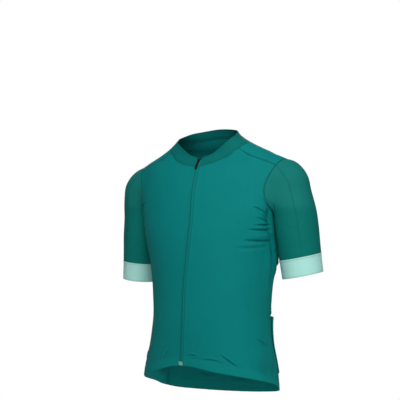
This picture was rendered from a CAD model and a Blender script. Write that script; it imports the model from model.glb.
import math
from collections import namedtuple

import bmesh
import bpy
import numpy as np
from mathutils import Matrix, Vector
from mathutils.bvhtree import BVHTree


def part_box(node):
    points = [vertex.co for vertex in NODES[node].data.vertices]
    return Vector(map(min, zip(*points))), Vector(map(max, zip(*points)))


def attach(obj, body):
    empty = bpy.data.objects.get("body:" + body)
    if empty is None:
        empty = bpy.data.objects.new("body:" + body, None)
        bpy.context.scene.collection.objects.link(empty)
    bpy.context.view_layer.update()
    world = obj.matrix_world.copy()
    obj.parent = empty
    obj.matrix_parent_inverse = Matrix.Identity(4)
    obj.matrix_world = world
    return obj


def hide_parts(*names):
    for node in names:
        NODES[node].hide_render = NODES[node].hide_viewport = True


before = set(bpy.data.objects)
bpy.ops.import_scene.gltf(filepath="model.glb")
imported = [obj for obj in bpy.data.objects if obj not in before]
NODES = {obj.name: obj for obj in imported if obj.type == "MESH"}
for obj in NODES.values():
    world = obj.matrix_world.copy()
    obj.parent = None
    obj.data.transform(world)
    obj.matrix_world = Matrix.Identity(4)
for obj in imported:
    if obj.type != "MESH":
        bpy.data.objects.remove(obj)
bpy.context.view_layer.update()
MILLIMETRE = 0.001

bl_info = {
    "name": "Cycling jersey",
    "version": (1, 0, 0),
    "blender": (4, 5, 0),
    "location": "3D View > Sidebar > Jersey",
    "description": "Makes the cloth, zip, stitching and studio of a cycling jersey",
    "category": "Object",
}

# One row for each cloth piece: its node, the nodes whose middle it goes round, its finish, and its
# flat cut as width, length and the share of that rectangle that is cloth.
Panel = namedtuple("Panel", "node round finish wide long share")
TRUNK = ("front_left", "front_right", "back")
TRUNK_PANELS = ("front", "side", "back")
FRONTS = [
    Panel("front_left", TRUNK, "body", 0.224, 0.564, 0.72),
    Panel("front_right", TRUNK, "body", 0.211, 0.574, 0.75),
]
BACKS = [Panel("back", TRUNK, "body", 0.447, 0.726, 0.75)]
SIDES = [
    Panel("side_left", TRUNK, "body", 0.152, 0.448, 0.62),
    Panel("side_right", TRUNK, "body", 0.127, 0.453, 0.74),
]
SLEEVES = [
    Panel("sleeve_front_left", ("cuff_left",), "sleeve", 0.111, 0.244, 0.68),
    Panel("sleeve_front_right", ("cuff_right",), "sleeve", 0.117, 0.24, 0.66),
    Panel("sleeve_outer_left", ("cuff_left",), "sleeve", 0.249, 0.265, 0.71),
    Panel("sleeve_outer_right", ("cuff_right",), "sleeve", 0.249, 0.259, 0.73),
]
CUFFS = [
    Panel("cuff_left", ("cuff_left",), "cuff", 0.325, 0.047, 0.99),
    Panel("cuff_right", ("cuff_right",), "cuff", 0.325, 0.047, 0.99),
]
COLLARS = [Panel("collar", ("collar",), "collar", 0.42, 0.036, 0.92)]
TAPES = [
    Panel("zip_tape_left", TRUNK, "zip", 0.0102, 0.494, 0.62),
    Panel("zip_tape_right", TRUNK, "zip", 0.0102, 0.494, 0.62),
]
POCKETS = [
    Panel("pocket_left", TRUNK, "body", 0.127, 0.153, 0.85),
    Panel("pocket_middle", TRUNK, "body", 0.123, 0.155, 0.9),
    Panel("pocket_right", TRUNK, "body", 0.127, 0.151, 0.87),
]

# Creases by their start, middle and end on the cloth, their half width, and how deep their trough
# and how high the fold beside it is, all in millimetres.
Crease = namedtuple("Crease", "start middle end width trough fold")
ARMPIT_CREASES = [
    Crease((167, -50, -161), (175, -40, -167), (184, -18, -181), 2.2, 3, 2.2),
    Crease((176, -36, -178), (183, -27, -187), (187, -14, -199), 2, 2, 2.4),
    Crease((172, -49, -187), (182, -32, -192), (188, -4, -203), 2.2, 2.6, 1.8),
    Crease((170, -52, -206), (184, -28, -205), (187, 8, -206), 2.4, 3.4, 1.6),
    Crease((158, -65, -216), (181, -34, -217), (186, 12, -217), 2.8, 4.2, 1.8),
    Crease((158, -70, -240), (180, -34, -240), (185, 8, -240), 5.2, 0, 2.8),
    Crease((152, -73, -242), (178, -36, -243), (184, 18, -244), 2.8, 4.4, 1.2),
    Crease((140, -86, -259), (165, -58, -260), (183, -10, -257), 4.6, 2, 1.2),
    Crease((184, -12, -166), (187, -4, -208), (182, 20, -266), 8.5, 8, 0),
    Crease((-132, -75, -150), (-150, -62, -158), (-166, -45, -174), 2.6, 3, 1.8),
    Crease((-118, -86, -178), (-138, -72, -186), (-152, -55, -200), 3.6, 1.2, 1),
    Crease((-128, -76, -212), (-144, -60, -214), (-155, -30, -210), 3.4, 1.8, 1.4),
]
HEM_CREASES = [
    Crease((26, -124, -520), (40, -123, -516), (53, -122, -520), 2.2, 1.8, 1.6),
    Crease((54, -122, -519), (48, -122, -524), (37, -122, -527), 2.2, 1.6, 1.2),
    Crease((64, -119, -527), (90, -113, -527), (112, -103, -534), 2.6, 2, 1.8),
    Crease((106, -106, -513), (125, -96, -528), (142, -85, -543), 2.8, 3, 2.2),
    Crease((-29, -120, -508), (-43, -117, -521), (-57, -113, -536), 3.4, 1.8, 2),
    Crease((166, -40, -477), (174, -17, -491), (177, 4, -504), 3, 2, 3),
    Crease((-120, -85, -520), (-136, -66, -532), (-150, -40, -550), 4, 1.8, 1.6),
    Crease((-145, 20, -500), (-150, 40, -515), (-148, 62, -535), 4.2, 2, 1.8),
]
BACK_CREASES = [
    Crease((160, 87, -178), (138, 97, -192), (108, 105, -203), 4.4, 3, 2.2),
    Crease((158, 82, -212), (128, 96, -226), (94, 105, -231), 5.2, 3.4, 2.4),
    Crease((160, 74, -244), (136, 88, -254), (112, 98, -254), 4.6, 2.2, 1.6),
    Crease((-150, 56, -186), (-128, 68, -198), (-98, 85, -206), 4.6, 3.2, 2.2),
    Crease((-152, 36, -222), (-126, 66, -232), (-90, 86, -240), 5, 2.6, 2),
    Crease((70, 89, -398), (15, 92, -405), (-40, 91, -398), 6, 3, 2.4),
    Crease((118, 78, -376), (82, 88, -384), (44, 93, -380), 5.4, 2.6, 2),
    Crease((-20, 94, -378), (-60, 88, -386), (-104, 69, -377), 5.6, 2.8, 2.2),
    Crease((30, 96, -352), (-8, 96, -358), (-50, 92, -350), 6, 1.8, 1.4),
    Crease((12, 109, -140), (16, 109, -190), (8, 106, -250), 12, 1.6, 1),
    Crease((96, 109, -112), (70, 111, -140), (58, 111, -180), 11, 1.8, 1.2),
    Crease((-84, 93, -104), (-66, 97, -138), (-56, 99, -175), 11, 1.8, 1.2),
    Crease((60, 110, -596), (30, 112, -604), (0, 113, -600), 5, 0.8, 0.6),
    Crease((-30, 113, -590), (-64, 110, -598), (-92, 104, -590), 5, 0.8, 0.6),
]
SIDE_CREASES = [
    Crease((184, 12, -226), (178, 20, -314), (170, 30, -420), 11, 7.6, 1.6),
    Crease((170, 20, -396), (172, 32, -485), (180, 24, -580), 9.5, 4.4, 1.4),
    Crease((180, -20, -345), (168, 52, -345), (110, 100, -345), 34, 0, 7.5),
    Crease((180, 26, -264), (172, 50, -272), (154, 74, -264), 4.2, 2.4, 2),
    Crease((172, 34, -300), (164, 56, -308), (140, 80, -301), 4.8, 2, 1.6),
    Crease((166, 32, -420), (154, 52, -430), (128, 72, -424), 5, 2, 1.6),
    Crease((-124, 46, -416), (-133, 18, -426), (-133, -12, -420), 5, 1.8, 1.4),
]
SLEEVE_CREASES = [
    Crease((215, 3, -205), (241, 9, -214), (257, 20, -214), 5.6, 0.5, 0.5),
    Crease((212, 110, -214), (236, 114, -225), (258, 106, -222), 5.2, 2.2, 1.8),
    Crease((220, 116, -256), (244, 116, -267), (262, 106, -262), 4.8, 1.8, 1.4),
    Crease((-234, -24, -232), (-224, -32, -240), (-209, -38, -238), 4.6, 0.6, 0.6),
    Crease((-243, 51, -236), (-253, 31, -248), (-258, 10, -246), 5, 1.2, 1),
    Crease((-244, 56, -280), (-256, 38, -292), (-260, 14, -290), 4.8, 1, 0.9),
]

# Seams by the first words of the two nodes that meet, or none at an open edge: how dark the line
# is, how far the edge is drawn in, and how strongly the cloth gathers beside it.
Seam = namedtuple("Seam", "one other dark dip gather")
SEAMS = [
    Seam("back", "front", 0.60, 0.0006, 0.00010),
    Seam("front", "sleeve", 0.55, 0.0006, 0.00014),
    Seam("back", "sleeve", 0.55, 0.0006, 0.00014),
    Seam("side", "sleeve", 0.55, 0.0006, 0.00018),
    Seam("sleeve", "sleeve", 0.28, 0.0004, 0.00008),
    Seam("front", "side", 0.06, 0.0002, 0.00005),
    Seam("back", "side", 0.20, 0.0004, 0.00010),
    Seam("collar", "front", 0.30, 0.0004, 0.00008),
    Seam("back", "collar", 0.30, 0.0004, 0.00008),
    Seam("cuff", "sleeve", 0.25, 0.0004, 0.00008),
    Seam("front", "zip", 0.20, 0.0004, 0.00012),
    Seam("zip", "zip", 0.34, 0.0002, 0.0),
    Seam("back", "pocket", 0.45, 0.0004, 0.00014),
    Seam("", "front", 0.10, 0.0003, 0.00022),
    Seam("", "back", 0.10, 0.0003, 0.00022),
    Seam("", "side", 0.10, 0.0003, 0.00022),
    Seam("", "pocket", 0.15, 0.0004, 0.00010),
    Seam("", "collar", 0.15, 0.0004, 0.0),
    Seam("", "cuff", 0.10, 0.0003, 0.0),
]
NO_SEAM = Seam("", "", 0.0, 0.0, 0.0)

# Rows of stitches: the piece that they make, the start of the node's name that they lie on, the
# start of the name of the node beyond the seam, and their distances from it.
Stitching = namedtuple("Stitching", "piece on beside insets")
STITCHES = [
    Stitching("hem_stitches", "front", "", (0.0195, 0.0225)),
    Stitching("hem_stitches", "side", "", (0.0195, 0.0225)),
    Stitching("hem_stitches", "back", "", (0.0195, 0.0225)),
    Stitching("seam_stitches", "back", "front", (0.0019,)),
    Stitching("seam_stitches", "front", "sleeve", (0.0019,)),
    Stitching("seam_stitches", "back", "sleeve", (0.0019,)),
    Stitching("seam_stitches", "side", "front", (0.0019,)),
    Stitching("seam_stitches", "side", "back", (0.0019,)),
    Stitching("sleeve_stitches", "sleeve_outer", "sleeve", (0.0019,)),
    Stitching("sleeve_stitches", "sleeve", "cuff", (0.0022,)),
    Stitching("collar_stitches", "front", "collar", (0.0019,)),
    Stitching("collar_stitches", "back", "collar", (0.0019,)),
    Stitching("collar_stitches", "collar", "", (0.0040,)),
    Stitching("zip_stitches", "front_left", "zip", (0.0024,)),
    Stitching("zip_stitches", "front_right", "zip", (0.0024,)),
    Stitching("pocket_stitches", "pocket", "back", (0.0019,)),
    Stitching("pocket_stitches", "pocket", "", (0.0080,)),
]


def shown(red, green, blue):
    """A colour given as it shows on a screen, from 0 to 255, as the linear colour that shaders take."""
    share = (np.array([red, green, blue]) / 255 + 0.055) / 1.055
    return tuple(float(v) for v in share**2.4) + (1.0,)


class JerseySizes(bpy.types.PropertyGroup):
    """Sizes that change how the cloth and the sewing are made."""

    knit_wall: bpy.props.FloatProperty(
        name="Knit", description="Thickness of the jersey knit", default=0.0012, unit="LENGTH"
    )
    collar_wall: bpy.props.FloatProperty(
        name="Collar", description="Thickness of the collar", default=0.0018, unit="LENGTH"
    )
    cuff_wall: bpy.props.FloatProperty(
        name="Cuffs", description="Thickness of the cuffs' elastic", default=0.0014, unit="LENGTH"
    )
    fineness: bpy.props.IntProperty(
        name="Fineness", description="How often each cell of the cloth is halved", default=3, min=1, max=3
    )
    crease_share: bpy.props.FloatProperty(
        name="Creases", description="How deep the creases are, as a share of their own depths", default=1.0
    )
    stitch_length: bpy.props.FloatProperty(
        name="Stitch", description="Length of one stitch with its gap", default=0.0032, unit="LENGTH"
    )
    thread: bpy.props.FloatProperty(
        name="Thread", description="Thickness of the sewing thread", default=0.0004, unit="LENGTH"
    )


def colour_setting(name, description, default):
    """A colour that the user may change."""
    return bpy.props.FloatVectorProperty(
        name=name, description=description, default=default, size=4, subtype="COLOR", min=0, max=1
    )


class JerseyColours(bpy.types.PropertyGroup):
    """Colours of the cloth, the zip and the studio."""

    body: colour_setting("Body", "Teal of the trunk", shown(0, 127, 125))
    hem: colour_setting("Hem", "Lighter teal of the folded hem", shown(0, 134, 129))
    sleeve: colour_setting("Sleeve", "Darker teal of the sleeves", shown(4, 116, 108))
    sleeve_top: colour_setting("Sleeve, upper half", "Greyer teal near the shoulder", shown(24, 124, 117))
    cuff: colour_setting("Cuffs", "Mint of the elastic cuffs", shown(180, 238, 228))
    collar: colour_setting("Collar", "Teal of the collar", shown(0, 111, 107))
    tape: colour_setting("Zip tape", "Teal of the zip's tape", shown(0, 123, 120))
    thread: colour_setting("Thread", "Teal of the sewing thread", shown(0, 118, 114))
    metal: colour_setting("Slider", "Black paint of the slider and its tab", shown(22, 26, 29))
    box: colour_setting("Box", "Grey teal of the zip's box", shown(112, 160, 160))
    floor: colour_setting("Floor", "Pale studio floor", shown(238, 238, 238))


class StudioSizes(bpy.types.PropertyGroup):
    """Where the camera stands and how bright the studio is."""

    turn: bpy.props.FloatProperty(
        name="Turn", description="How far the camera stands round to the wearer's left",
        default=math.radians(33.5), subtype="ANGLE",
    )
    distance: bpy.props.FloatProperty(
        name="Distance", description="From the camera to the point that it looks at", default=3.5,
        unit="LENGTH",
    )
    lens: bpy.props.FloatProperty(
        name="Lens", description="Focal length", default=126.0, unit="CAMERA"
    )
    aim: bpy.props.FloatVectorProperty(
        name="Aim", description="The point that the camera looks at", default=(-0.028, 0.014, -0.145),
        subtype="TRANSLATION",
    )
    floor_level: bpy.props.FloatProperty(
        name="Floor", description="The floor's height, as far below the hem as a wearer's legs reach",
        default=-1.4, unit="LENGTH",
    )
    surround: bpy.props.FloatProperty(
        name="Surround", description="Strength of the white room's light", default=0.21
    )
    key: bpy.props.FloatProperty(
        name="Key", description="Power of the large soft light", default=71.0, unit="POWER"
    )
    fill: bpy.props.FloatProperty(
        name="Fill", description="Power of the low light beside the camera", default=8.0, unit="POWER"
    )
    back: bpy.props.FloatProperty(
        name="Back", description="Power of the soft light behind the jersey", default=48.0, unit="POWER"
    )


def sizes():
    return bpy.context.scene.jersey_sizes


def colours():
    return bpy.context.scene.jersey_colours


def studio():
    return bpy.context.scene.jersey_studio


def deselect():
    """Leaves object mode with nothing selected."""
    if bpy.context.object and bpy.context.object.mode != "OBJECT":
        bpy.ops.object.mode_set(mode="OBJECT")
    bpy.ops.object.select_all(action="DESELECT")


def pick(piece):
    """Selects one piece and makes it the active one."""
    deselect()
    piece.select_set(True)
    bpy.context.view_layer.objects.active = piece


def apply_modifier(piece, kind, **settings):
    """Adds a modifier with these settings and applies it."""
    pick(piece)
    modifier = piece.modifiers.new(kind.title(), kind)
    for key, value in settings.items():
        setattr(modifier, key, value)
    bpy.ops.object.modifier_apply(modifier=modifier.name)


def coordinates(mesh):
    """The mesh's points as rows of three numbers."""
    points = np.zeros(len(mesh.vertices) * 3)
    mesh.vertices.foreach_get("co", points)
    return points.reshape(-1, 3)


def set_coordinates(mesh, points):
    mesh.vertices.foreach_set("co", np.asarray(points, float).ravel())
    mesh.update()


def point_normals(mesh):
    normals = np.zeros(len(mesh.vertices) * 3)
    mesh.vertex_normals.foreach_get("vector", normals)
    return normals.reshape(-1, 3)


def middle_of(nodes):
    """The middle of the box round some nodes."""
    corners = [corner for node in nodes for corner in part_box(node)]
    low = Vector(min(c[i] for c in corners) for i in range(3))
    high = Vector(max(c[i] for c in corners) for i in range(3))
    return (low + high) / 2


def new_object(name, verts, faces):
    """A new mesh object in the scene, from points and faces."""
    mesh = bpy.data.meshes.new(name)
    mesh.from_pydata([tuple(v) for v in verts], [], [tuple(f) for f in faces])
    mesh.update()
    piece = bpy.data.objects.new(name, mesh)
    bpy.context.scene.collection.objects.link(piece)
    return piece


# Cloth.
MERGE_WITHIN = 1e-6
STRIP_EDGE = 1.6
CELL_TURNS = 3


def islands(faces):
    """The faces in groups that hang together."""
    left = set(faces)
    groups = []
    while left:
        front = [left.pop()]
        group = list(front)
        while front:
            face = front.pop()
            for edge in face.edges:
                for other in edge.link_faces:
                    if other in left:
                        left.discard(other)
                        group.append(other)
                        front.append(other)
        groups.append(group)
    return groups


def outwardness(faces, middle):
    """How much a group of faces looks away from a middle."""
    return sum((f.calc_center_median() - middle).dot(f.normal) * f.calc_area() for f in faces)


def join_cells(bm):
    """Joins the triangles in pairs into the four-sided cells that they were cut from.

    In a sheet whose cells are all cut the same way, the cuts of two triangles that share a side
    meet at that side's end that lies off the first one's cut.
    """
    corners = [f for f in bm.faces if sum(e.is_boundary for e in f.edges) == 2]
    if corners:
        first = corners[0]
        cut = next(e for e in first.edges if not e.is_boundary)
    else:
        bm.faces.ensure_lookup_table()
        first = bm.faces[0]
        cut = max(first.edges, key=lambda e: e.calc_length())
    cuts = {first: cut}
    front = [first]
    while front:
        face = front.pop()
        cut = cuts[face]
        off = next(v for v in face.verts if v not in cut.verts)
        for edge in face.edges:
            for other in edge.link_faces:
                if other in cuts:
                    continue
                if edge is cut:
                    cuts[other] = cut
                else:
                    cuts[other] = next(e for e in other.edges if e is not edge and off in e.verts)
                front.append(other)
    bmesh.ops.dissolve_edges(bm, edges=list(set(cuts.values())), use_verts=False)
    if any(len(f.verts) != 4 for f in bm.faces):
        raise RuntimeError("the sheet's triangles don't pair into cells")


def outer_sheet(panel, wall):
    """The outward face of a wall node, as one open sheet of four-sided cells."""
    bm = bmesh.new()
    bm.from_mesh(NODES[panel.node].data)
    bmesh.ops.remove_doubles(bm, verts=bm.verts, dist=MERGE_WITHIN)
    strips = [f for f in bm.faces if min(e.calc_length() for e in f.edges) < STRIP_EDGE * wall]
    bmesh.ops.delete(bm, geom=strips, context="FACES")
    bm.normal_update()
    middle = middle_of(panel.round)
    groups = islands(bm.faces)
    outer = max(groups, key=lambda group: outwardness(group, middle))
    others = [f for group in groups if group is not outer for f in group]
    bmesh.ops.delete(bm, geom=others, context="FACES")
    join_cells(bm)
    bm.verts.index_update()
    verts = [v.co.copy() for v in bm.verts]
    faces = [[v.index for v in f.verts] for f in bm.faces]
    bm.free()
    return new_object(panel.node + "_cloth", verts, faces)


RING_CELL = math.radians(360 / 23)


def lay_flat(piece, closed):
    """Unwraps the sheet into a UV map in metres, with V running up the cloth. A closed ring is cut
    open at its side nearest the body."""
    pick(piece)
    mesh = piece.data
    if closed:
        points = coordinates(mesh)
        middle = points.mean(0)
        for edge in mesh.edges:
            a, b = (points[v] - middle for v in edge.vertices)
            upright = abs(a[2] - b[2]) > np.hypot(*(a - b)[:2])
            across = [math.atan2(p[1], -math.copysign(1, middle[0]) * p[0]) for p in (a, b)]
            edge.use_seam = bool(upright and 0 <= across[0] < RING_CELL and abs(across[1]) < 2 * RING_CELL)
    bpy.ops.object.mode_set(mode="EDIT")
    bpy.ops.mesh.select_all(action="SELECT")
    bpy.ops.uv.unwrap(method="ANGLE_BASED", margin=0)
    bpy.ops.object.mode_set(mode="OBJECT")
    layer = mesh.uv_layers.active
    layer.name = "cloth"
    flat = np.zeros(len(mesh.loops) * 2)
    layer.uv.foreach_get("vector", flat)
    flat = flat.reshape(-1, 2)
    corner = np.zeros(len(mesh.loops), int)
    mesh.loops.foreach_get("vertex_index", corner)
    worn = coordinates(mesh)[corner]
    starts = np.array([p.loop_start for p in mesh.polygons])
    worn_area = sum(p.area for p in mesh.polygons)
    quads = flat[starts[:, None] + np.arange(4)]
    across = quads[:, 2] - quads[:, 0], quads[:, 3] - quads[:, 1]
    flat_area = np.abs(across[0][:, 0] * across[1][:, 1] - across[0][:, 1] * across[1][:, 0]).sum() / 2
    flat *= math.sqrt(worn_area / flat_area)
    centred = flat - flat.mean(0)
    slope = np.linalg.lstsq(centred, worn[:, 2] - worn[:, 2].mean(), rcond=None)[0]
    up = slope / np.linalg.norm(slope)
    turned = np.stack([centred @ np.array([up[1], -up[0]]), centred @ up], 1)
    layer.uv.foreach_set("vector", turned.ravel())


def halve_cells(piece):
    """Halves the sheet's cells into a smooth surface that still passes through its own points."""
    mesh = piece.data
    goal = coordinates(mesh)
    modifier = piece.modifiers.new("Smooth", "SUBSURF")
    modifier.levels = modifier.render_levels = sizes().fineness
    modifier.boundary_smooth = "PRESERVE_CORNERS"
    for _ in range(CELL_TURNS):
        view = piece.evaluated_get(bpy.context.evaluated_depsgraph_get())
        reached = coordinates(view.data)[: len(goal)]
        set_coordinates(mesh, coordinates(mesh) + (goal - reached))
    pick(piece)
    bpy.ops.object.modifier_apply(modifier=modifier.name)


TRUNK_WIDE = 0.35
TRUNK_DEEP = 0.23
FINE_WIDTH = 5.3
CREASE_EDGE = 0.00005
CREASE_CUTS = 2


def outward(node, points, normals):
    """The way in which creases are pressed: out of an oval trunk, the same for panels that meet."""
    if not node.startswith(TRUNK_PANELS):
        return normals
    middle = np.array((middle_of(("side_left", "side_right")).x, middle_of(TRUNK).y, 0.5))
    way = (points - middle) / np.array((TRUNK_WIDE, TRUNK_DEEP, 1)) ** 2 * (1, 1, 0)
    return way / np.linalg.norm(way, axis=1, keepdims=True)


def refine_creases(piece, node, creases):
    """Cuts the cells near the fine creases smaller, so that they come out smooth."""
    points = coordinates(piece.data)
    ways = outward(node, points, point_normals(piece.data))
    depth = np.zeros(len(points))
    for crease in creases:
        if crease.width < FINE_WIDTH:
            wider = crease._replace(width=1.4 * crease.width)
            depth = np.maximum(depth, np.abs(crease_depth(points, ways, wider)))
    busy = depth > CREASE_EDGE
    if not busy.any():
        return
    bm = bmesh.new()
    bm.from_mesh(piece.data)
    edges = {e for f in bm.faces if any(busy[v.index] for v in f.verts) for e in f.edges}
    bmesh.ops.subdivide_edges(bm, edges=list(edges), cuts=CREASE_CUTS, use_grid_fill=True)
    bm.to_mesh(piece.data)
    bm.free()


RIM_RINGS = (0.0008, 0.0011)


def narrow_rims(piece):
    """Adds two narrow rings of cells along the sheet's rims, so that they can roll in."""
    bm = bmesh.new()
    bm.from_mesh(piece.data)
    inner = list(bm.faces)
    for width in RIM_RINGS:
        before = set(bm.faces)
        bmesh.ops.inset_region(
            bm, faces=inner, thickness=width, use_boundary=True, use_even_offset=False, use_interpolate=True
        )
        inner = [f for f in bm.faces if f in before]
    bm.to_mesh(piece.data)
    bm.free()


def crease_depth(points, ways, crease):
    """How far each point of the cloth moves for one crease, outwards or inwards."""
    start, middle, end = (np.array(p) * MILLIMETRE for p in crease[:3])
    width, trough, fold = (size * MILLIMETRE for size in crease[3:])
    t = np.linspace(0, 1, 17)[:, None]
    bend = 2 * middle - (start + end) / 2
    line = (1 - t) ** 2 * start + 2 * t * (1 - t) * bend + t**2 * end
    reach = 5 * width
    near = np.all((points > line.min(0) - reach) & (points < line.max(0) + reach), axis=1)
    depth = np.zeros(len(points))
    if not near.any():
        return depth
    at = points[near]
    legs = np.diff(line, axis=0)
    share = np.clip(((at[:, None] - line[None, :-1]) * legs).sum(2) / (legs**2).sum(1), 0, 1)
    foot = line[None, :-1] + share[..., None] * legs
    away = at[:, None] - foot
    nearest = (away**2).sum(2).argmin(1)
    rows = np.arange(len(at))
    away = away[rows, nearest]
    along = (nearest + share[rows, nearest]) / len(legs)
    side = np.cross(legs[nearest], ways[near])
    if abs((end - start)[2]) < 0.7 * np.linalg.norm(end - start):
        side *= np.where(side[:, 2] < 0, -1, 1)[:, None]
    side /= np.linalg.norm(side, axis=1, keepdims=True)
    across = (away * side).sum(1) / width
    fade = np.sin(math.pi * np.clip(along, 0, 1)) ** 0.7
    wave = fold * np.exp(-((across - 1.5) ** 2)) - trough * np.exp(-(across**2))
    depth[near] = wave * fade
    return depth


def rim_loops(mesh):
    """The sheet's open edges as closed runs of point numbers, with the cloth on their left."""
    used = {}
    for polygon in mesh.polygons:
        for key in polygon.edge_keys:
            used[key] = used.get(key, 0) + 1
    following = {}
    for polygon in mesh.polygons:
        ring = list(polygon.vertices)
        for a, b in zip(ring, ring[1:] + ring[:1]):
            if used[(min(a, b), max(a, b))] == 1:
                following[a] = b
    loops = []
    while following:
        first, after = following.popitem()
        loop = [first]
        while after != first:
            loop.append(after)
            after = following.pop(after)
        loops.append(loop)
    return loops


# A sheet's rims as parts from start to end, each with its run of arc, its neighbour and its seam.
Rim = namedtuple("Rim", "start leg arc beside dark dip gather")
Sheet = namedtuple("Sheet", "loops rim tree")
SHEETS = {}
WALL_TREES = {}
SEAM_REACH = {"pocket": 0.0018, "": 0.0012}


def wall_tree(node):
    """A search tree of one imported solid's faces."""
    if node not in WALL_TREES:
        mesh = NODES[node].data
        WALL_TREES[node] = BVHTree.FromPolygons(
            [v.co.copy() for v in mesh.vertices], [tuple(p.vertices) for p in mesh.polygons]
        )
    return WALL_TREES[node]


CLOTH_NODES = [p.node for p in FRONTS + BACKS + SIDES + SLEEVES + CUFFS + COLLARS + TAPES + POCKETS]


def neighbour(node, point):
    """The node whose wall meets a rim here, or none at an open edge."""
    pocket = node.startswith("pocket")
    reach = SEAM_REACH["pocket" if pocket else ""]
    best = ("", reach)
    for other in CLOTH_NODES:
        if other == node or other.startswith("pocket") or (pocket and other != "back"):
            continue
        away = wall_tree(other).find_nearest(Vector(point), reach)[3]
        if away is not None and away < best[1]:
            best = (other, away)
    return best[0]


def seam_between(node, other):
    """The row of the seam table for two nodes."""
    pair = tuple(sorted((node.split("_")[0], other.split("_")[0])))
    if set((node, other)) == {"front_right", "zip_tape_right"}:
        return NO_SEAM
    return next((row for row in SEAMS if (row.one, row.other) == pair), NO_SEAM)


def measure_rim(node, points, loops):
    start, leg, arc, beside = [], [], [], []
    for loop in loops:
        ring = points[loop]
        after = np.roll(ring, -1, axis=0) - ring
        length = np.linalg.norm(after, axis=1)
        start.append(ring)
        leg.append(after)
        arc.append(np.concatenate([[0], np.cumsum(length)[:-1]]))
        beside += [neighbour(node, p) for p in ring + after / 2]
    rows = [seam_between(node, other) for other in beside]
    dark, dip, gather = (np.array([getattr(row, key) for row in rows]) for key in ("dark", "dip", "gather"))
    start = np.concatenate(start)
    if node.startswith("sleeve"):
        own = np.array([other.startswith("sleeve") for other in beside])
        dark = np.where(own, dark * (0.3 + 0.7 * np.clip((start[:, 2] + 0.27) / 0.08, 0, 1)), dark)
    if node.startswith("zip"):
        dark = dark * (0.5 + 0.5 * smooth_step(-start[:, 2], 0.10, 0.18))
    return Rim(start, np.concatenate(leg), np.concatenate(arc), beside, dark, dip, gather)


def nearest_rim(points, rim, only=None):
    """Each point's distance to the nearest part of the rim, and which part that is."""
    best = np.full(len(points), 1.0)
    which = np.zeros(len(points), int)
    numbers = np.arange(len(rim.start)) if only is None else np.nonzero(only)[0]
    for chunk in np.array_split(numbers, max(len(numbers) // 40, 1)):
        if not len(chunk):
            continue
        start, leg = rim.start[chunk], rim.leg[chunk]
        share = ((points[:, None] - start) * leg).sum(2) / np.maximum((leg**2).sum(1), 1e-18)
        gap = points[:, None] - start - np.clip(share, 0, 1)[..., None] * leg
        away = np.sqrt((gap**2).sum(2))
        nearest = away.argmin(1)
        closer = away[np.arange(len(points)), nearest]
        which = np.where(closer < best, chunk[nearest], which)
        best = np.minimum(best, closer)
    return best, which


def write_attribute(mesh, name, values):
    attribute = mesh.attributes.new(name, "FLOAT", "POINT")
    attribute.data.foreach_set("value", np.asarray(values, np.float32))


SEAM_ROLL = 0.0013
SEAM_LINE = 0.0012
GATHER_REACH = 0.007
GATHER_WAVE = 0.0085
HEM_BAND = 0.0205
HEM_FOLD = 0.0004
MOUTH_BAND = 0.0085
WELT_TOP = 0.0027
WELT_RISE = 0.0007
WELT_REACH = 0.0020
TAPE_RECESS = 0.00045
TAPE_EDGE = 0.0004
TAPE_SHADE = 0.20
FRONT_WELT = 0.0005
LIP_RISE = 0.0010
LIP_GROOVE = 0.0003


def bell(values, middle, reach):
    """1 at the middle and fading to nothing on both sides of it."""
    return np.exp(-(((values - middle) / reach) ** 2))


def smooth_step(values, low, high):
    share = np.clip((values - low) / (high - low), 0, 1)
    return share * share * (3 - 2 * share)


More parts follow.
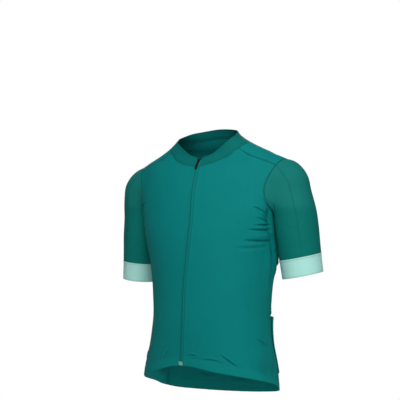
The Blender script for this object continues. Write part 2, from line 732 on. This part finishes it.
def shape_cloth(piece, node, creases):
    """Presses the creases into the sheet, rolls its rims in, and raises its folded bands."""
    mesh = piece.data
    points = coordinates(mesh)
    normals = point_normals(mesh)
    ways = outward(node, points, normals)
    pressed = np.zeros(len(points))
    for crease in creases:
        pressed += crease_depth(points, ways, crease)
    pressed *= sizes().crease_share
    depth = np.zeros(len(points))
    loops = rim_loops(mesh)
    rim = measure_rim(node, points, loops)
    away, which = nearest_rim(points, rim)
    line = rim.dark[which] * bell(away, 0, SEAM_LINE)
    depth -= rim.dip[which] * bell(away, 0, SEAM_ROLL)
    wave = np.sin(rim.arc[which] * 2 * math.pi / GATHER_WAVE + 1.7 * np.sin(rim.arc[which] * 90))
    depth += rim.gather[which] * wave * bell(away, 0, GATHER_REACH) * np.clip(away / 0.001, 0, 1)
    open_low = np.array([not other for other in rim.beside]) & (rim.start[:, 2] < -0.4)
    band = np.full(len(points), 1.0)
    if node.startswith(TRUNK_PANELS):
        band = nearest_rim(points, rim, open_low)[0]
        depth += HEM_FOLD * (1 - smooth_step(band, HEM_BAND - 0.002, HEM_BAND + 0.002))
    if node.startswith("pocket"):
        band = nearest_rim(points, rim, open_low)[0]
        depth += HEM_FOLD * (1 - smooth_step(band, MOUTH_BAND - 0.002, MOUTH_BAND + 0.002))
    slit = np.full(len(points), 1.0)
    beside_zip = np.array([other.startswith("zip") for other in rim.beside])
    if node.startswith("zip"):
        slit = nearest_rim(points, rim, beside_zip)[0]
        if node == "zip_tape_left":
            depth += WELT_RISE * bell(slit, WELT_TOP, WELT_REACH)
        else:
            depth += TAPE_RECESS * smooth_step(slit, 0, 0.005) - TAPE_EDGE * (1 - smooth_step(slit, 0, 0.003))
            line += TAPE_SHADE * bell(slit, 0, 0.0030)
    if node == "front_left":
        edge = nearest_rim(points, rim, beside_zip)[0]
        depth += FRONT_WELT * bell(edge, 0.0030, 0.0022)
    if node.startswith("cuff"):
        beside_sleeve = np.array([other.startswith("sleeve") for other in rim.beside])
        edge = nearest_rim(points, rim, beside_sleeve)[0]
        depth += LIP_RISE * bell(edge, 0.0020, 0.0016) - LIP_GROOVE * bell(edge, 0.0052, 0.0012)
    moved = points + normals * depth[:, None] + ways * pressed[:, None]
    close_seams(moved, normals, loops, rim.beside, node)
    write_attribute(mesh, "from_rim", away)
    write_attribute(mesh, "seam_line", np.clip(line, 0, 1))
    write_attribute(mesh, "from_hem", band)
    set_coordinates(mesh, moved)
    tree = BVHTree.FromPolygons([Vector(p) for p in moved], [tuple(f.vertices) for f in mesh.polygons])
    moved_rim = rim._replace(start=np.concatenate([moved[loop] for loop in loops]))
    SHEETS[node] = Sheet(loops, moved_rim, tree)


SEAM_CLOSE = 0.00014


def close_seams(moved, normals, loops, beside, node):
    """Draws a sheet's rims out to the cloth that they are sewn to, and leaves the zip's slit open."""
    number = 0
    for loop in loops:
        ring = moved[loop]
        out = np.cross(np.roll(ring, -1, axis=0) - np.roll(ring, 1, axis=0), normals[loop])
        out /= np.maximum(np.linalg.norm(out, axis=1, keepdims=True), 1e-9)
        parts = beside[number : number + len(loop)]
        sewn = [bool(other) and not (node.startswith("zip") and other.startswith("zip")) for other in parts]
        moved[loop] = ring + SEAM_CLOSE * out * np.array(sewn)[:, None]
        number += len(loop)


def make_cloth(panel, wall, creases, material):
    """One cloth piece over its wall node, finished and declared."""
    piece = outer_sheet(panel, wall)
    lay_flat(piece, closed=panel.node.startswith("cuff"))
    halve_cells(piece)
    refine_creases(piece, panel.node, creases)
    if panel not in TAPES:
        narrow_rims(piece)
    shape_cloth(piece, panel.node, creases)
    apply_modifier(piece, "SOLIDIFY", thickness=wall, offset=-1, use_rim=True)
    pick(piece)
    bpy.ops.object.shade_smooth_by_angle(angle=math.radians(50))
    piece.data.materials.clear()
    piece.data.materials.append(material)
    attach(piece, "jersey")
    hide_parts(panel.node)
    return piece


# Stitches and zip teeth.
def runs_beside(node, beside):
    """The stretches of a sheet's rims that meet a neighbour, each as its rim parts in order."""
    sheet = SHEETS[node]
    number = 0
    runs = []
    for loop in sheet.loops:
        parts = list(range(number, number + len(loop)))
        number += len(loop)
        names = [sheet.rim.beside[part] for part in parts]
        fits = [name.startswith(beside) if beside else not name for name in names]
        if all(fits):
            runs.append(parts + parts[:1])
            continue
        first = fits.index(False)
        parts, fits = parts[first:] + parts[:first], fits[first:] + fits[:first]
        run = []
        for part, fit in zip(parts + parts[:1], fits + [False]):
            if fit:
                run.append(part)
            elif run:
                runs.append(run)
                run = []
    return [run for run in runs if len(run) > 3]


def inset_path(node, run, inset):
    """Points on the sheet at a distance from one stretch of its rim, with the cloth's normals there."""
    sheet = SHEETS[node]
    at = sheet.rim.start[run] + sheet.rim.leg[run] / 2
    along = sheet.rim.leg[run] / np.linalg.norm(sheet.rim.leg[run], axis=1, keepdims=True)
    steps = max(1, round(inset / 0.005))
    found = [sheet.tree.find_nearest(Vector(p)) for p in at]
    up = np.array([f[1] for f in found])
    inwards = np.cross(up, along)
    for _ in range(steps):
        found = [sheet.tree.find_nearest(Vector(p)) for p in at + inwards * inset / steps]
        at = np.array([f[0] for f in found])
        up = np.array([f[1] for f in found])
        inwards -= up * (inwards * up).sum(1, keepdims=True)
        inwards /= np.linalg.norm(inwards, axis=1, keepdims=True)
    away = nearest_rim(at, sheet.rim)[0]
    keep = away > 0.8 * inset
    return at[keep]


Bead = namedtuple("Bead", "along across rise lift sides")
BEAD_RINGS = ((-1.0, 0.4), (-0.6, 1.0), (0.6, 1.0), (1.0, 0.4))


def bead_rows(name, rows, pitch, bead, turned=False):
    """One object of small rounded bars in rows on the sheets, lengthways or across their row."""
    verts, faces = [], []
    number = 0
    for node, beside, insets in rows:
        sheet = SHEETS[node]
        for run in runs_beside(node, beside):
            for inset in insets:
                path = inset_path(node, run, inset)
                if len(path) < 4:
                    continue
                legs = np.linalg.norm(np.diff(path, axis=0), axis=1)
                travelled = np.concatenate([[0], np.cumsum(legs)])
                for place in np.arange(pitch, travelled[-1] - pitch / 2, pitch):
                    spots = (place - 0.0008, place, place + 0.0008)
                    before, here, after = (
                        np.array([np.interp(spot, travelled, path[:, i]) for i in range(3)]) for spot in spots
                    )
                    on, up = sheet.tree.find_nearest(Vector(here))[:2]
                    number += 1
                    way = Vector(after - before).normalized()
                    side = up.cross(way).normalized()
                    lean = 0.09 * math.sin(number * 12.9898)
                    way = (way + side * lean).normalized()
                    side = up.cross(way).normalized()
                    if turned:
                        way, side = side, way
                    middle = on + up * bead.lift
                    first = len(verts)
                    for reach, share in BEAD_RINGS:
                        for k in range(bead.sides):
                            angle = 2 * math.pi * (k + 0.5) / bead.sides
                            verts.append(
                                middle
                                + way * (reach * bead.along)
                                + side * (share * bead.across * math.cos(angle))
                                + up * (share * bead.rise * math.sin(angle))
                            )
                    for ring in range(len(BEAD_RINGS) - 1):
                        for k in range(bead.sides):
                            low = first + ring * bead.sides
                            after_k = (k + 1) % bead.sides
                            above = low + bead.sides
                            faces.append((low + k, low + after_k, above + after_k, above + k))
                    last = first + (len(BEAD_RINGS) - 1) * bead.sides
                    faces.append(tuple(first + k for k in reversed(range(bead.sides))))
                    faces.append(tuple(last + k for k in range(bead.sides)))
    if not verts:
        raise RuntimeError("no place was found for " + name)
    piece = new_object(name, verts, faces)
    pick(piece)
    bpy.ops.object.mode_set(mode="EDIT")
    bpy.ops.mesh.select_all(action="SELECT")
    bpy.ops.mesh.normals_make_consistent(inside=False)
    bpy.ops.object.mode_set(mode="OBJECT")
    bpy.ops.object.shade_smooth_by_angle(angle=math.radians(60))
    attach(piece, "jersey")
    return piece


# Materials.
def tree_of(material):
    material.use_nodes = True
    return material.node_tree


def new_material(name):
    old = bpy.data.materials.get(name)
    if old:
        return old, False
    return bpy.data.materials.new(name), True


def add_node(tree, kind, **inputs):
    """A node with its inputs set by name, or linked where a socket is given."""
    node = tree.nodes.new(kind)
    for key, value in inputs.items():
        socket = node.inputs[key.replace("_", " ")]
        if isinstance(value, bpy.types.NodeSocket):
            tree.links.new(value, socket)
        else:
            socket.default_value = value
    return node


def maths(tree, operation, a, b=0.0, c=0.0):
    node = tree.nodes.new("ShaderNodeMath")
    node.operation = operation
    for socket, value in zip(node.inputs, (a, b, c)):
        if isinstance(value, bpy.types.NodeSocket):
            tree.links.new(value, socket)
        else:
            socket.default_value = value
    return node.outputs[0]


def mixed(tree, share, a, b):
    """A colour between two."""
    node = tree.nodes.new("ShaderNodeMix")
    node.data_type = "RGBA"
    for socket, value in ((node.inputs[0], share), (node.inputs[6], a), (node.inputs[7], b)):
        if isinstance(value, bpy.types.NodeSocket):
            tree.links.new(value, socket)
        else:
            socket.default_value = value
    return node.outputs[2]


def new_group(name, inputs, outputs):
    """A shader node group with named inputs, each with its default, and named outputs."""
    group = bpy.data.node_groups.new(name, "ShaderNodeTree")
    for label, kind, default in inputs:
        socket = group.interface.new_socket(label, in_out="INPUT", socket_type=kind)
        if default is not None:
            socket.default_value = default
    for label, kind in outputs:
        group.interface.new_socket(label, in_out="OUTPUT", socket_type=kind)
    return group, group.nodes.new("NodeGroupInput"), group.nodes.new("NodeGroupOutput")


def use_group(tree, group, **inputs):
    node = tree.nodes.new("ShaderNodeGroup")
    node.node_tree = group
    for key, value in inputs.items():
        socket = node.inputs[key.replace("_", " ")]
        if isinstance(value, bpy.types.NodeSocket):
            tree.links.new(value, socket)
        else:
            socket.default_value = value
    return node


FLOAT = "NodeSocketFloat"
VECTOR = "NodeSocketVector"
COLOUR = "NodeSocketColor"


def knit_group():
    """Columns of small V-shaped loops, on a flat map in metres."""
    name = "Fine knit"
    if name in bpy.data.node_groups:
        return bpy.data.node_groups[name]
    group, inside, out = new_group(
        name,
        [("Flat", VECTOR, None), ("Columns per metre", FLOAT, 1100.0), ("Rows per metre", FLOAT, 1300.0)],
        [("Height", FLOAT)],
    )
    parts = add_node(group, "ShaderNodeSeparateXYZ", Vector=inside.outputs["Flat"])
    column = maths(group, "MULTIPLY", parts.outputs[0], inside.outputs["Columns per metre"])
    row = maths(group, "MULTIPLY", parts.outputs[1], inside.outputs["Rows per metre"])
    lean = maths(group, "PINGPONG", column, 0.5)
    leg = maths(group, "ABSOLUTE", maths(group, "SINE", maths(group, "MULTIPLY", column, math.pi * 2)))
    slant = maths(group, "ADD", row, maths(group, "MULTIPLY", lean, 1.2))
    loop = maths(group, "ABSOLUTE", maths(group, "SINE", maths(group, "MULTIPLY", slant, math.pi)))
    raised = maths(group, "ADD", maths(group, "MULTIPLY", loop, 0.6), 0.4)
    height = maths(group, "MULTIPLY", maths(group, "SQRT", leg), raised)
    group.links.new(height, out.inputs["Height"])
    return group


def patch_group():
    """Soft uneven patches over the piece, from 0 to 1."""
    name = "Soft patches"
    if name in bpy.data.node_groups:
        return bpy.data.node_groups[name]
    inputs = [("Place", VECTOR, None), ("Scale", FLOAT, 14.0)]
    group, inside, out = new_group(name, inputs, [("Patches", FLOAT)])
    noise = add_node(
        group, "ShaderNodeTexNoise", Vector=inside.outputs["Place"], Scale=inside.outputs["Scale"], Detail=3.0
    )
    ramp = add_node(group, "ShaderNodeMapRange", Value=noise.outputs[0])
    ramp.inputs["From Min"].default_value = 0.3
    ramp.inputs["From Max"].default_value = 0.7
    group.links.new(ramp.outputs[0], out.inputs["Patches"])
    return group


def band_group():
    """1 within a width of an edge, 0 beyond it, from a distance."""
    name = "Edge band"
    if name in bpy.data.node_groups:
        return bpy.data.node_groups[name]
    inputs = [("Distance", FLOAT, 1.0), ("Width", FLOAT, 0.02)]
    group, inside, out = new_group(name, inputs, [("Band", FLOAT)])
    past = maths(group, "SUBTRACT", inside.outputs["Distance"], inside.outputs["Width"])
    share = maths(group, "MULTIPLY", past, -900.0)
    node = add_node(group, "ShaderNodeClamp", Value=maths(group, "ADD", share, 0.5))
    group.links.new(node.outputs[0], out.inputs["Band"])
    return group


def attribute_value(tree, name):
    node = tree.nodes.new("ShaderNodeAttribute")
    node.attribute_name = name
    return node.outputs["Fac"]


def times(colour, share):
    return tuple(share * v for v in colour[:3]) + (1.0,)


SLEEVE_TONE_Z = -0.165


def cloth_material(name, colour, roughness=0.75, columns=1400.0, knit=0.00010, top=None, band=None, lip=0.0):
    """Fine elastic knit with soft patches and a darker line at its seams.

    top is another colour for its upper half, band is another for the width beside the hem, and lip
    is how far a fine groove runs from the rims.
    """
    material, new = new_material(name)
    if not new:
        return material
    tree = tree_of(material)
    shader = tree.nodes["Principled BSDF"]
    flat = add_node(tree, "ShaderNodeUVMap")
    flat.uv_map = "cloth"
    place = tree.nodes.new("ShaderNodeTexCoord").outputs["Object"]
    patches = use_group(tree, patch_group(), Place=place, Scale=9.0).outputs[0]
    specks = use_group(tree, patch_group(), Place=place, Scale=420.0).outputs[0]
    loops = use_group(
        tree, knit_group(), Flat=flat.outputs[0], Columns_per_metre=columns, Rows_per_metre=columns * 1.2
    ).outputs[0]
    base = colour
    if top:
        height = add_node(tree, "ShaderNodeSeparateXYZ", Vector=place).outputs[2]
        step = add_node(tree, "ShaderNodeMapRange", Value=height)
        step.interpolation_type = "SMOOTHSTEP"
        step.inputs["From Min"].default_value = SLEEVE_TONE_Z - 0.006
        step.inputs["From Max"].default_value = SLEEVE_TONE_Z + 0.014
        base = mixed(tree, step.outputs[0], colour, top)
    if band:
        edge = use_group(tree, band_group(), Distance=attribute_value(tree, "from_hem"), Width=HEM_BAND)
        base = mixed(tree, edge.outputs[0], base, band)
    toned = mixed(tree, maths(tree, "MULTIPLY", patches, 0.45), base, times(colour, 0.84))
    speckled = mixed(tree, maths(tree, "MULTIPLY", specks, 0.22), toned, times(colour, 1.25))
    between = maths(tree, "MULTIPLY", maths(tree, "SUBTRACT", 1.0, loops), 0.25)
    threads = mixed(tree, between, speckled, times(colour, 0.6))
    line = attribute_value(tree, "seam_line")
    if lip:
        past = maths(tree, "SUBTRACT", attribute_value(tree, "from_rim"), lip)
        past = maths(tree, "MULTIPLY", past, 1600.0)
        square = maths(tree, "MULTIPLY", past, past)
        groove = maths(tree, "POWER", 2.718, maths(tree, "MULTIPLY", square, -1.0))
        line = maths(tree, "MAXIMUM", line, maths(tree, "MULTIPLY", groove, 0.3))
    worn = mixed(tree, line, threads, times(colour, 0.12))
    tree.links.new(worn, shader.inputs["Base Color"])
    rough = add_node(tree, "ShaderNodeMapRange", Value=patches)
    rough.inputs["To Min"].default_value = roughness - 0.05
    rough.inputs["To Max"].default_value = roughness + 0.05
    tree.links.new(rough.outputs[0], shader.inputs["Roughness"])
    shader.inputs["Specular IOR Level"].default_value = 0.08
    fine = add_node(tree, "ShaderNodeBump", Height=loops, Distance=knit, Strength=0.5).outputs[0]
    soft = add_node(tree, "ShaderNodeBump", Height=specks, Distance=0.00012, Strength=0.4, Normal=fine)
    tree.links.new(soft.outputs[0], shader.inputs["Normal"])
    return material


def painted_metal(name, colour, roughness=0.35, metallic=0.3):
    """Painted metal or hard plastic with faint scuffs."""
    material, new = new_material(name)
    if not new:
        return material
    tree = tree_of(material)
    shader = tree.nodes["Principled BSDF"]
    place = tree.nodes.new("ShaderNodeTexCoord").outputs["Object"]
    scuffs = add_node(tree, "ShaderNodeTexNoise", Vector=place, Scale=900.0, Detail=3.0)
    lighter = tuple(min(1.6 * v + 0.01, 1) for v in colour[:3]) + (1.0,)
    worn = mixed(tree, maths(tree, "MULTIPLY", scuffs.outputs[0], 0.4), colour, lighter)
    tree.links.new(worn, shader.inputs["Base Color"])
    rough = add_node(tree, "ShaderNodeMapRange", Value=scuffs.outputs[0])
    rough.inputs["To Min"].default_value = roughness - 0.08
    rough.inputs["To Max"].default_value = roughness + 0.12
    tree.links.new(rough.outputs[0], shader.inputs["Roughness"])
    shader.inputs["Metallic"].default_value = metallic
    bump = add_node(tree, "ShaderNodeBump", Height=scuffs.outputs[0], Distance=0.00005, Strength=0.3)
    tree.links.new(bump.outputs[0], shader.inputs["Normal"])
    return material


def body_knit():
    return cloth_material("Body knit", tuple(colours().body), band=tuple(colours().hem))


def sleeve_knit():
    top = tuple(colours().sleeve_top)
    return cloth_material("Sleeve knit", tuple(colours().sleeve), columns=1700.0, top=top)


def thread_finish(name, colour):
    """Twisted polyester thread, in the cloth's colour."""
    material, new = new_material(name)
    if not new:
        return material
    tree = tree_of(material)
    shader = tree.nodes["Principled BSDF"]
    place = tree.nodes.new("ShaderNodeTexCoord").outputs["Object"]
    twist = add_node(tree, "ShaderNodeTexNoise", Vector=place, Scale=2600.0, Detail=2.0).outputs[0]
    tree.links.new(mixed(tree, twist, times(colour, 0.75), times(colour, 1.15)), shader.inputs["Base Color"])
    shader.inputs["Roughness"].default_value = 0.6
    shader.inputs["Specular IOR Level"].default_value = 0.2
    bump = add_node(tree, "ShaderNodeBump", Height=twist, Distance=0.00006, Strength=0.5)
    tree.links.new(bump.outputs[0], shader.inputs["Normal"])
    return material


# Hard pieces.
GROOVE_HALF = 0.0008
GROOVE_DEPTH = 0.0009


def groove_box(piece):
    """Cuts a groove up the middle of the box, where the two halves of the zip meet in it."""
    points = coordinates(piece.data)
    middle = points.mean(0)
    wide = np.linalg.svd((points - middle)[:, :2])[2][0]
    across = Vector((wide[0], wide[1], 0))
    front = Vector((wide[1], -wide[0], 0))
    front *= -math.copysign(1, front.y)
    bm = bmesh.new()
    bm.from_mesh(piece.data)
    for shift in (-GROOVE_HALF, 0, GROOVE_HALF):
        geometry = bm.verts[:] + bm.edges[:] + bm.faces[:]
        bmesh.ops.bisect_plane(bm, geom=geometry, plane_co=Vector(middle) + across * shift, plane_no=across)
    for vert in bm.verts:
        from_middle = vert.co - Vector(middle)
        if abs(from_middle.dot(across)) < GROOVE_HALF / 2 and from_middle.dot(front) > 0:
            vert.co -= front * GROOVE_DEPTH
    bm.to_mesh(piece.data)
    bm.free()


def rounded_copy(node, name, width, material, body, grooved=False):
    """A copy of a hard node with its edges rounded."""
    deselect()
    piece = bpy.data.objects.new(name, NODES[node].data.copy())
    bpy.context.scene.collection.objects.link(piece)
    pick(piece)
    bpy.ops.object.mode_set(mode="EDIT")
    bpy.ops.mesh.select_all(action="SELECT")
    bpy.ops.mesh.remove_doubles(threshold=MERGE_WITHIN)
    bpy.ops.mesh.dissolve_limited(angle_limit=math.radians(1))
    bpy.ops.object.mode_set(mode="OBJECT")
    if grooved:
        groove_box(piece)
    apply_modifier(
        piece, "BEVEL", width=width, segments=3, limit_method="ANGLE", angle_limit=math.radians(35),
        use_clamp_overlap=True, harden_normals=False,
    )
    pick(piece)
    bpy.ops.object.shade_smooth_by_angle(angle=math.radians(40))
    piece.data.materials.clear()
    piece.data.materials.append(material)
    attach(piece, body)
    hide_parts(node)
    return piece


# Operators.
class JERSEY_OT_fronts(bpy.types.Operator):
    """Make the two front panels beside the zip"""

    bl_idname = "jersey.fronts"
    bl_label = "Front panels"

    def execute(self, context):
        for panel in FRONTS:
            make_cloth(panel, sizes().knit_wall, ARMPIT_CREASES + HEM_CREASES, body_knit())
        return {"FINISHED"}


class JERSEY_OT_back(bpy.types.Operator):
    """Make the back panel with its shoulders"""

    bl_idname = "jersey.back"
    bl_label = "Back panel"

    def execute(self, context):
        for panel in BACKS:
            make_cloth(panel, sizes().knit_wall, BACK_CREASES + SIDE_CREASES, body_knit())
        return {"FINISHED"}


class JERSEY_OT_sides(bpy.types.Operator):
    """Make the two side panels"""

    bl_idname = "jersey.sides"
    bl_label = "Side panels"

    def execute(self, context):
        for panel in SIDES:
            make_cloth(panel, sizes().knit_wall, ARMPIT_CREASES + HEM_CREASES + SIDE_CREASES, body_knit())
        return {"FINISHED"}


class JERSEY_OT_sleeves(bpy.types.Operator):
    """Make the four sleeve pieces"""

    bl_idname = "jersey.sleeves"
    bl_label = "Sleeves"

    def execute(self, context):
        for panel in SLEEVES:
            make_cloth(panel, sizes().knit_wall, SLEEVE_CREASES, sleeve_knit())
        return {"FINISHED"}


class JERSEY_OT_cuffs(bpy.types.Operator):
    """Make the two elastic cuffs"""

    bl_idname = "jersey.cuffs"
    bl_label = "Cuffs"

    def execute(self, context):
        for panel in CUFFS:
            mint = tuple(colours().cuff)
            elastic = cloth_material("Cuff elastic", mint, roughness=0.6, columns=700.0, lip=0.0030)
            make_cloth(panel, sizes().cuff_wall, [], elastic)
        return {"FINISHED"}


class JERSEY_OT_collar(bpy.types.Operator):
    """Make the low collar"""

    bl_idname = "jersey.collar"
    bl_label = "Collar"

    def execute(self, context):
        for panel in COLLARS:
            knit = cloth_material("Collar knit", tuple(colours().collar), lip=0.0045)
            make_cloth(panel, sizes().collar_wall, [], knit)
        return {"FINISHED"}


class JERSEY_OT_zip_tapes(bpy.types.Operator):
    """Make the two halves of the zip's tape"""

    bl_idname = "jersey.zip_tapes"
    bl_label = "Zip tapes"

    def execute(self, context):
        for panel in TAPES:
            woven = cloth_material("Zip tape", tuple(colours().tape), columns=2000.0)
            make_cloth(panel, sizes().knit_wall, [], woven)
        return {"FINISHED"}


class JERSEY_OT_pockets(bpy.types.Operator):
    """Make the three pockets on the lower back"""

    bl_idname = "jersey.pockets"
    bl_label = "Pockets"

    def execute(self, context):
        for panel in POCKETS:
            make_cloth(panel, sizes().knit_wall, [], body_knit())
        return {"FINISHED"}


class JERSEY_OT_stitching(bpy.types.Operator):
    """Sew the rows of stitches along the hem, the seams, the zip and the pockets"""

    bl_idname = "jersey.stitching"
    bl_label = "Stitches"

    def execute(self, context):
        width = sizes().thread / 2
        bead = Bead(0.35 * sizes().stitch_length, width, 0.8 * width, 0.25 * width, 5)
        thread = thread_finish("Sewing thread", tuple(colours().thread))
        for name in dict.fromkeys(row.piece for row in STITCHES):
            rows = [
                (node, row.beside, row.insets)
                for row in STITCHES
                for node in CLOTH_NODES
                if row.piece == name and node.startswith(row.on)
            ]
            piece = bead_rows(name, rows, sizes().stitch_length, bead)
            piece.data.materials.append(thread)
        return {"FINISHED"}


class JERSEY_OT_zip_teeth(bpy.types.Operator):
    """Make the two coils of teeth behind the zip's tapes"""

    bl_idname = "jersey.zip_teeth"
    bl_label = "Zip teeth"

    def execute(self, context):
        coil = Bead(0.0014, 0.0004, 0.0004, -sizes().knit_wall - 0.0003, 6)
        rows = [(tape.node, "zip", (0.0014,)) for tape in TAPES]
        piece = bead_rows("zip_teeth", rows, 0.00125, coil, turned=True)
        piece.data.materials.append(thread_finish("Nylon coil", tuple(colours().tape)))
        return {"FINISHED"}


class JERSEY_OT_zip_hardware(bpy.types.Operator):
    """Make the slider, its pull tab and the box at the hem"""

    bl_idname = "jersey.zip_hardware"
    bl_label = "Slider, tab and box"

    def execute(self, context):
        black = painted_metal("Black paint", tuple(colours().metal))
        rounded_copy("zip_slider", "slider", 0.00025, black, "jersey")
        rounded_copy("zip_pull", "pull_tab", 0.0003, black, "zip_pull")
        grey = painted_metal("Grey box", tuple(colours().box), roughness=0.45, metallic=0.0)
        box = rounded_copy("zip_box", "retainer_box", 0.0004, grey, "jersey", grooved=True)
        return {"FINISHED"}


class JERSEY_OT_studio(bpy.types.Operator):
    """Set up the floor, the soft lights and the camera"""

    bl_idname = "jersey.studio"
    bl_label = "Studio"

    def execute(self, context):
        settings = studio()
        deselect()
        bpy.ops.mesh.primitive_circle_add(
            vertices=96, radius=4, fill_type="NGON", location=(0, 0, settings.floor_level)
        )
        floor = context.object
        floor.name = "floor"
        floor.data.transform(floor.matrix_world)
        floor.matrix_world = Matrix.Identity(4)
        material, _ = new_material("Pale floor")
        shader = tree_of(material).nodes["Principled BSDF"]
        shader.inputs["Base Color"].default_value = tuple(colours().floor)
        shader.inputs["Roughness"].default_value = 0.9
        floor.data.materials.append(material)
        world = context.scene.world or bpy.data.worlds.new("Studio")
        context.scene.world = world
        world.use_nodes = True
        tree = world.node_tree
        tree.nodes.clear()
        path = tree.nodes.new("ShaderNodeLightPath")
        seen = maths(tree, "MULTIPLY", path.outputs["Is Camera Ray"], 1 - settings.surround)
        strength = maths(tree, "ADD", seen, settings.surround)
        background = add_node(tree, "ShaderNodeBackground", Color=(1, 1, 1, 1), Strength=strength)
        output = tree.nodes.new("ShaderNodeOutputWorld")
        tree.links.new(background.outputs[0], output.inputs[0])
        turn = settings.turn
        aim = Vector(settings.aim)
        toward = Vector((math.sin(turn), -math.cos(turn), 0))
        right = Vector((math.cos(turn), math.sin(turn), 0))
        up = Vector((0, 0, 1))
        lamps = [
            ("key_light", 2.3 * toward + 0.18 * right + 2.1 * up, 1.6, settings.key),
            ("fill_light", 2.6 * toward + 0.3 * right + 0.2 * up, 2.0, settings.fill),
            ("back_light", -2.6 * toward + 0.5 * up, 2.2, settings.back),
        ]
        for name, offset, size, power in lamps:
            data = bpy.data.lights.new(name, "AREA")
            data.shape = "DISK"
            data.size = size
            data.energy = power
            lamp = bpy.data.objects.new(name, data)
            lamp.location = aim + offset
            lamp.rotation_euler = (-offset).to_track_quat("-Z", "Y").to_euler()
            context.scene.collection.objects.link(lamp)
        camera_data = bpy.data.cameras.new("camera")
        camera_data.sensor_width = 36
        camera_data.sensor_fit = "HORIZONTAL"
        camera_data.lens = settings.lens
        camera = bpy.data.objects.new("camera", camera_data)
        camera.location = aim + toward * settings.distance
        camera.rotation_euler = (math.pi / 2, 0, turn)
        context.scene.collection.objects.link(camera)
        context.scene.camera = camera
        context.scene.view_settings.view_transform = "Standard"
        return {"FINISHED"}


class JERSEY_PT_sidebar(bpy.types.Panel):
    """The jersey's pieces and settings in the sidebar"""

    bl_idname = "JERSEY_PT_sidebar"
    bl_label = "Cycling jersey"
    bl_space_type = "VIEW_3D"
    bl_region_type = "UI"
    bl_category = "Jersey"

    def draw(self, context):
        for group in (sizes(), colours(), studio()):
            column = self.layout.column(align=True)
            for key in group.__annotations__:
                column.prop(group, key)
        for operator in OPERATORS:
            self.layout.operator(operator.bl_idname)


OPERATORS = [
    JERSEY_OT_fronts,
    JERSEY_OT_back,
    JERSEY_OT_sides,
    JERSEY_OT_sleeves,
    JERSEY_OT_cuffs,
    JERSEY_OT_collar,
    JERSEY_OT_zip_tapes,
    JERSEY_OT_pockets,
    JERSEY_OT_stitching,
    JERSEY_OT_zip_teeth,
    JERSEY_OT_zip_hardware,
    JERSEY_OT_studio,
]
SETTINGS = {"jersey_sizes": JerseySizes, "jersey_colours": JerseyColours, "jersey_studio": StudioSizes}


def register():
    for kind in (*SETTINGS.values(), *OPERATORS, JERSEY_PT_sidebar):
        bpy.utils.register_class(kind)
    for name, kind in SETTINGS.items():
        setattr(bpy.types.Scene, name, bpy.props.PointerProperty(type=kind))


def unregister():
    for name in SETTINGS:
        delattr(bpy.types.Scene, name)
    for kind in reversed((*SETTINGS.values(), *OPERATORS, JERSEY_PT_sidebar)):
        bpy.utils.unregister_class(kind)


def main():
    register()
    for operator in OPERATORS:
        group, name = operator.bl_idname.split(".")
        getattr(getattr(bpy.ops, group), name)()
    deselect()


if __name__ == "__main__":
    main()
